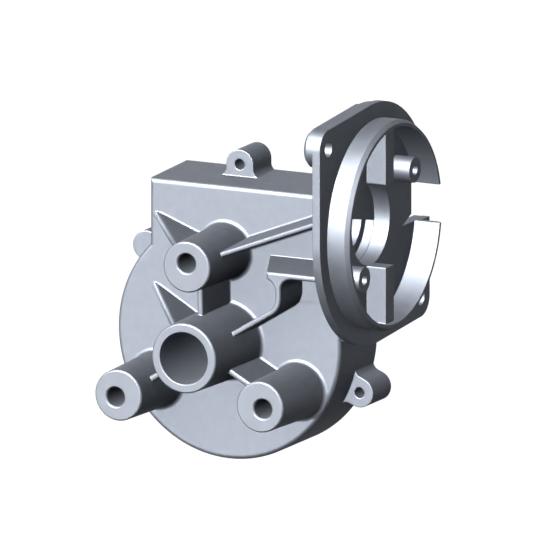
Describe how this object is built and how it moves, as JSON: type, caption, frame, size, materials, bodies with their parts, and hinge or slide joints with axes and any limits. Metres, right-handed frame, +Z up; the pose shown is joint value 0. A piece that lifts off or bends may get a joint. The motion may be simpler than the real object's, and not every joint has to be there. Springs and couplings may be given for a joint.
{
  "type": "gear housing",
  "caption": "Die cast gear housing: round gear case with output tube and mounting bosses, worm box on top, and a ringed motor flange at the side.",
  "frame": {"origin": "centre of the mounting screw circle, level with the ends of the mounting bosses", "axes": "-Y is the front, where the output tube and mounting bosses point; +X points to the motor; +Z is up toward the worm box"},
  "size_m": [0.0889, 0.0789, 0.1109],
  "materials": {
    "casting": "as cast, fine satin"
  },
  "bodies": {
    "root": {"gear_housing": "casting"}
  },
  "joints": []
}
